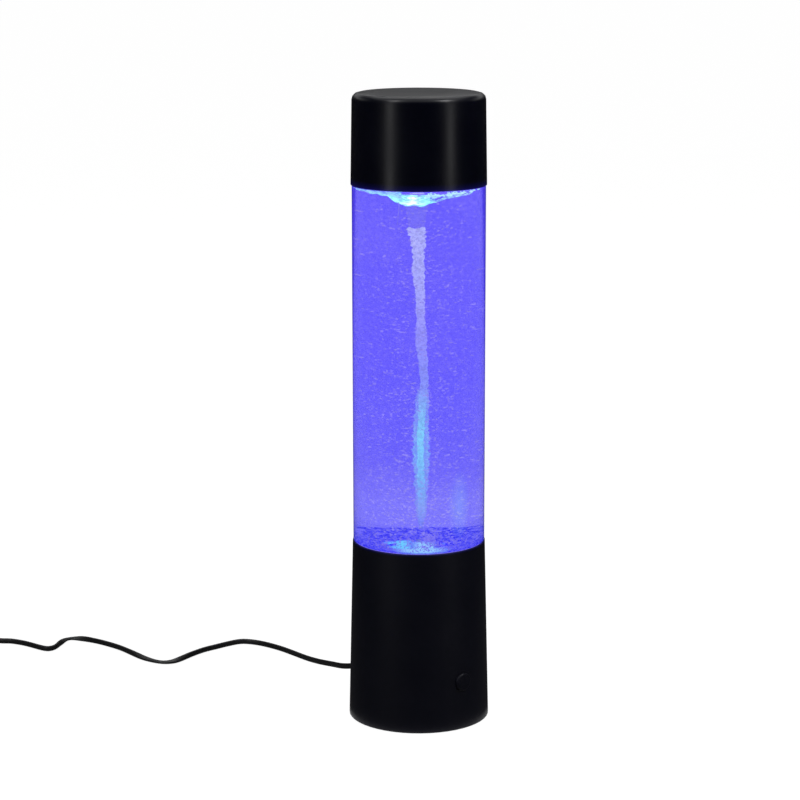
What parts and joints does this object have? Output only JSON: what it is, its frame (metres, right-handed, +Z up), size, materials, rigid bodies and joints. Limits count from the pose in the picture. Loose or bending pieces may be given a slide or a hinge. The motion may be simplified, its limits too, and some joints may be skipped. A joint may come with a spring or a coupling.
{
  "type": "water vortex lamp",
  "caption": "Cylindrical table lamp: a clear lit water tank with a stirred vortex, between a black base with a push button and a black lift-off cap, with a thin coiled cord.",
  "frame": {"origin": "on the surface it stands on, under the lamp's axis", "axes": "+Z up along the lamp's axis; the push button faces -Y and the cord leaves at +Y"},
  "size_m": [0.2609, 0.3338, 0.335],
  "materials": {
    "black_plastic": "satin black moulding",
    "dark_plastic": "matt dark moulding",
    "clear_plastic": "clear polished",
    "water": "clear, lit violet-blue from below",
    "white_plastic": "satin white moulding",
    "silicone": "soft translucent grey",
    "rubber": "matt",
    "steel": "plated",
    "magnet_plate": "bright nickel plate",
    "pcb_white": "white solder mask",
    "pcb_green": "green solder mask",
    "led_lens": "moulded lens, lit",
    "cord_plastic": "satin black sheath"
  },
  "bodies": {
    "lamp": {"base_housing": "black_plastic", "bottom_cover": "dark_plastic", "control_chip": "dark_plastic", "power_switch": "dark_plastic", "tank_tube": "clear_plastic", "tank_floor": "clear_plastic", "water_fill": "water", "tank_lid": "white_plastic", "motor_socket": "white_plastic", "led_socket": "white_plastic", "plug_tongue": "white_plastic", "floor_seal": "silicone", "lid_seal": "silicone", "foot_1": "rubber", "foot_2": "rubber", "foot_3": "rubber", "coil_tie": "rubber", "motor_can": "steel", "motor_bracket": "steel", "impeller_pin": "steel", "plug_shell": "steel", "cover_screw_1": "steel", "cover_screw_2": "steel", "cover_screw_3": "steel", "seat_screw_1": "steel", "seat_screw_2": "steel", "seat_screw_3": "steel", "bracket_screw_1": "steel", "bracket_screw_2": "steel", "bracket_screw_3": "steel", "motor_screw_1": "steel", "motor_screw_2": "steel", "led_board": "pcb_white", "control_board": "pcb_green", "led_1": "led_lens", "led_2": "led_lens", "led_3": "led_lens", "led_4": "led_lens", "led_5": "led_lens", "led_6": "led_lens", "cord": "cord_plastic", "cord_coil": "cord_plastic", "strain_relief": "cord_plastic", "plug_body": "cord_plastic", "motor_lead": "cord_plastic", "led_lead": "cord_plastic", "power_lead": "cord_plastic"},
    "button": {"power_button": "black_plastic", "switch_plunger": "white_plastic"},
    "cap": {"top_cap": "black_plastic"},
    "filler_plug": {"fill_plug": "silicone"},
    "rotor": {"motor_shaft": "steel", "magnet_carrier": "dark_plastic", "drive_magnet_1": "magnet_plate", "drive_magnet_2": "magnet_plate"},
    "stirrer": {"impeller": "white_plastic", "impeller_magnet_1": "magnet_plate", "impeller_magnet_2": "magnet_plate"}
  },
  "joints": [
    {"name": "button_press", "type": "slide", "parent": "lamp", "child": "button", "axis": [0, 1, 0], "range_m": [0, 0.0006], "stiffness_N_per_m": 1500},
    {"name": "cap_lift", "type": "slide", "parent": "lamp", "child": "cap", "axis": [0, 0, 1], "range_m": [0, 0.06]},
    {"name": "plug_lift", "type": "slide", "parent": "lamp", "child": "filler_plug", "axis": [0, 0, 1], "range_m": [0, 0.015]},
    {"name": "motor_spin", "type": "hinge", "parent": "lamp", "child": "rotor", "pos_m": [0, 0, 0.08], "axis": [0, 0, 1], "continuous": true},
    {"name": "impeller_spin", "type": "hinge", "parent": "lamp", "child": "stirrer", "pos_m": [0, 0, 0.095], "axis": [0, 0, 1], "continuous": true}
  ],
  "couplings": [
    {"joint": "impeller_spin", "follows": "motor_spin", "ratio": 1}
  ]
}
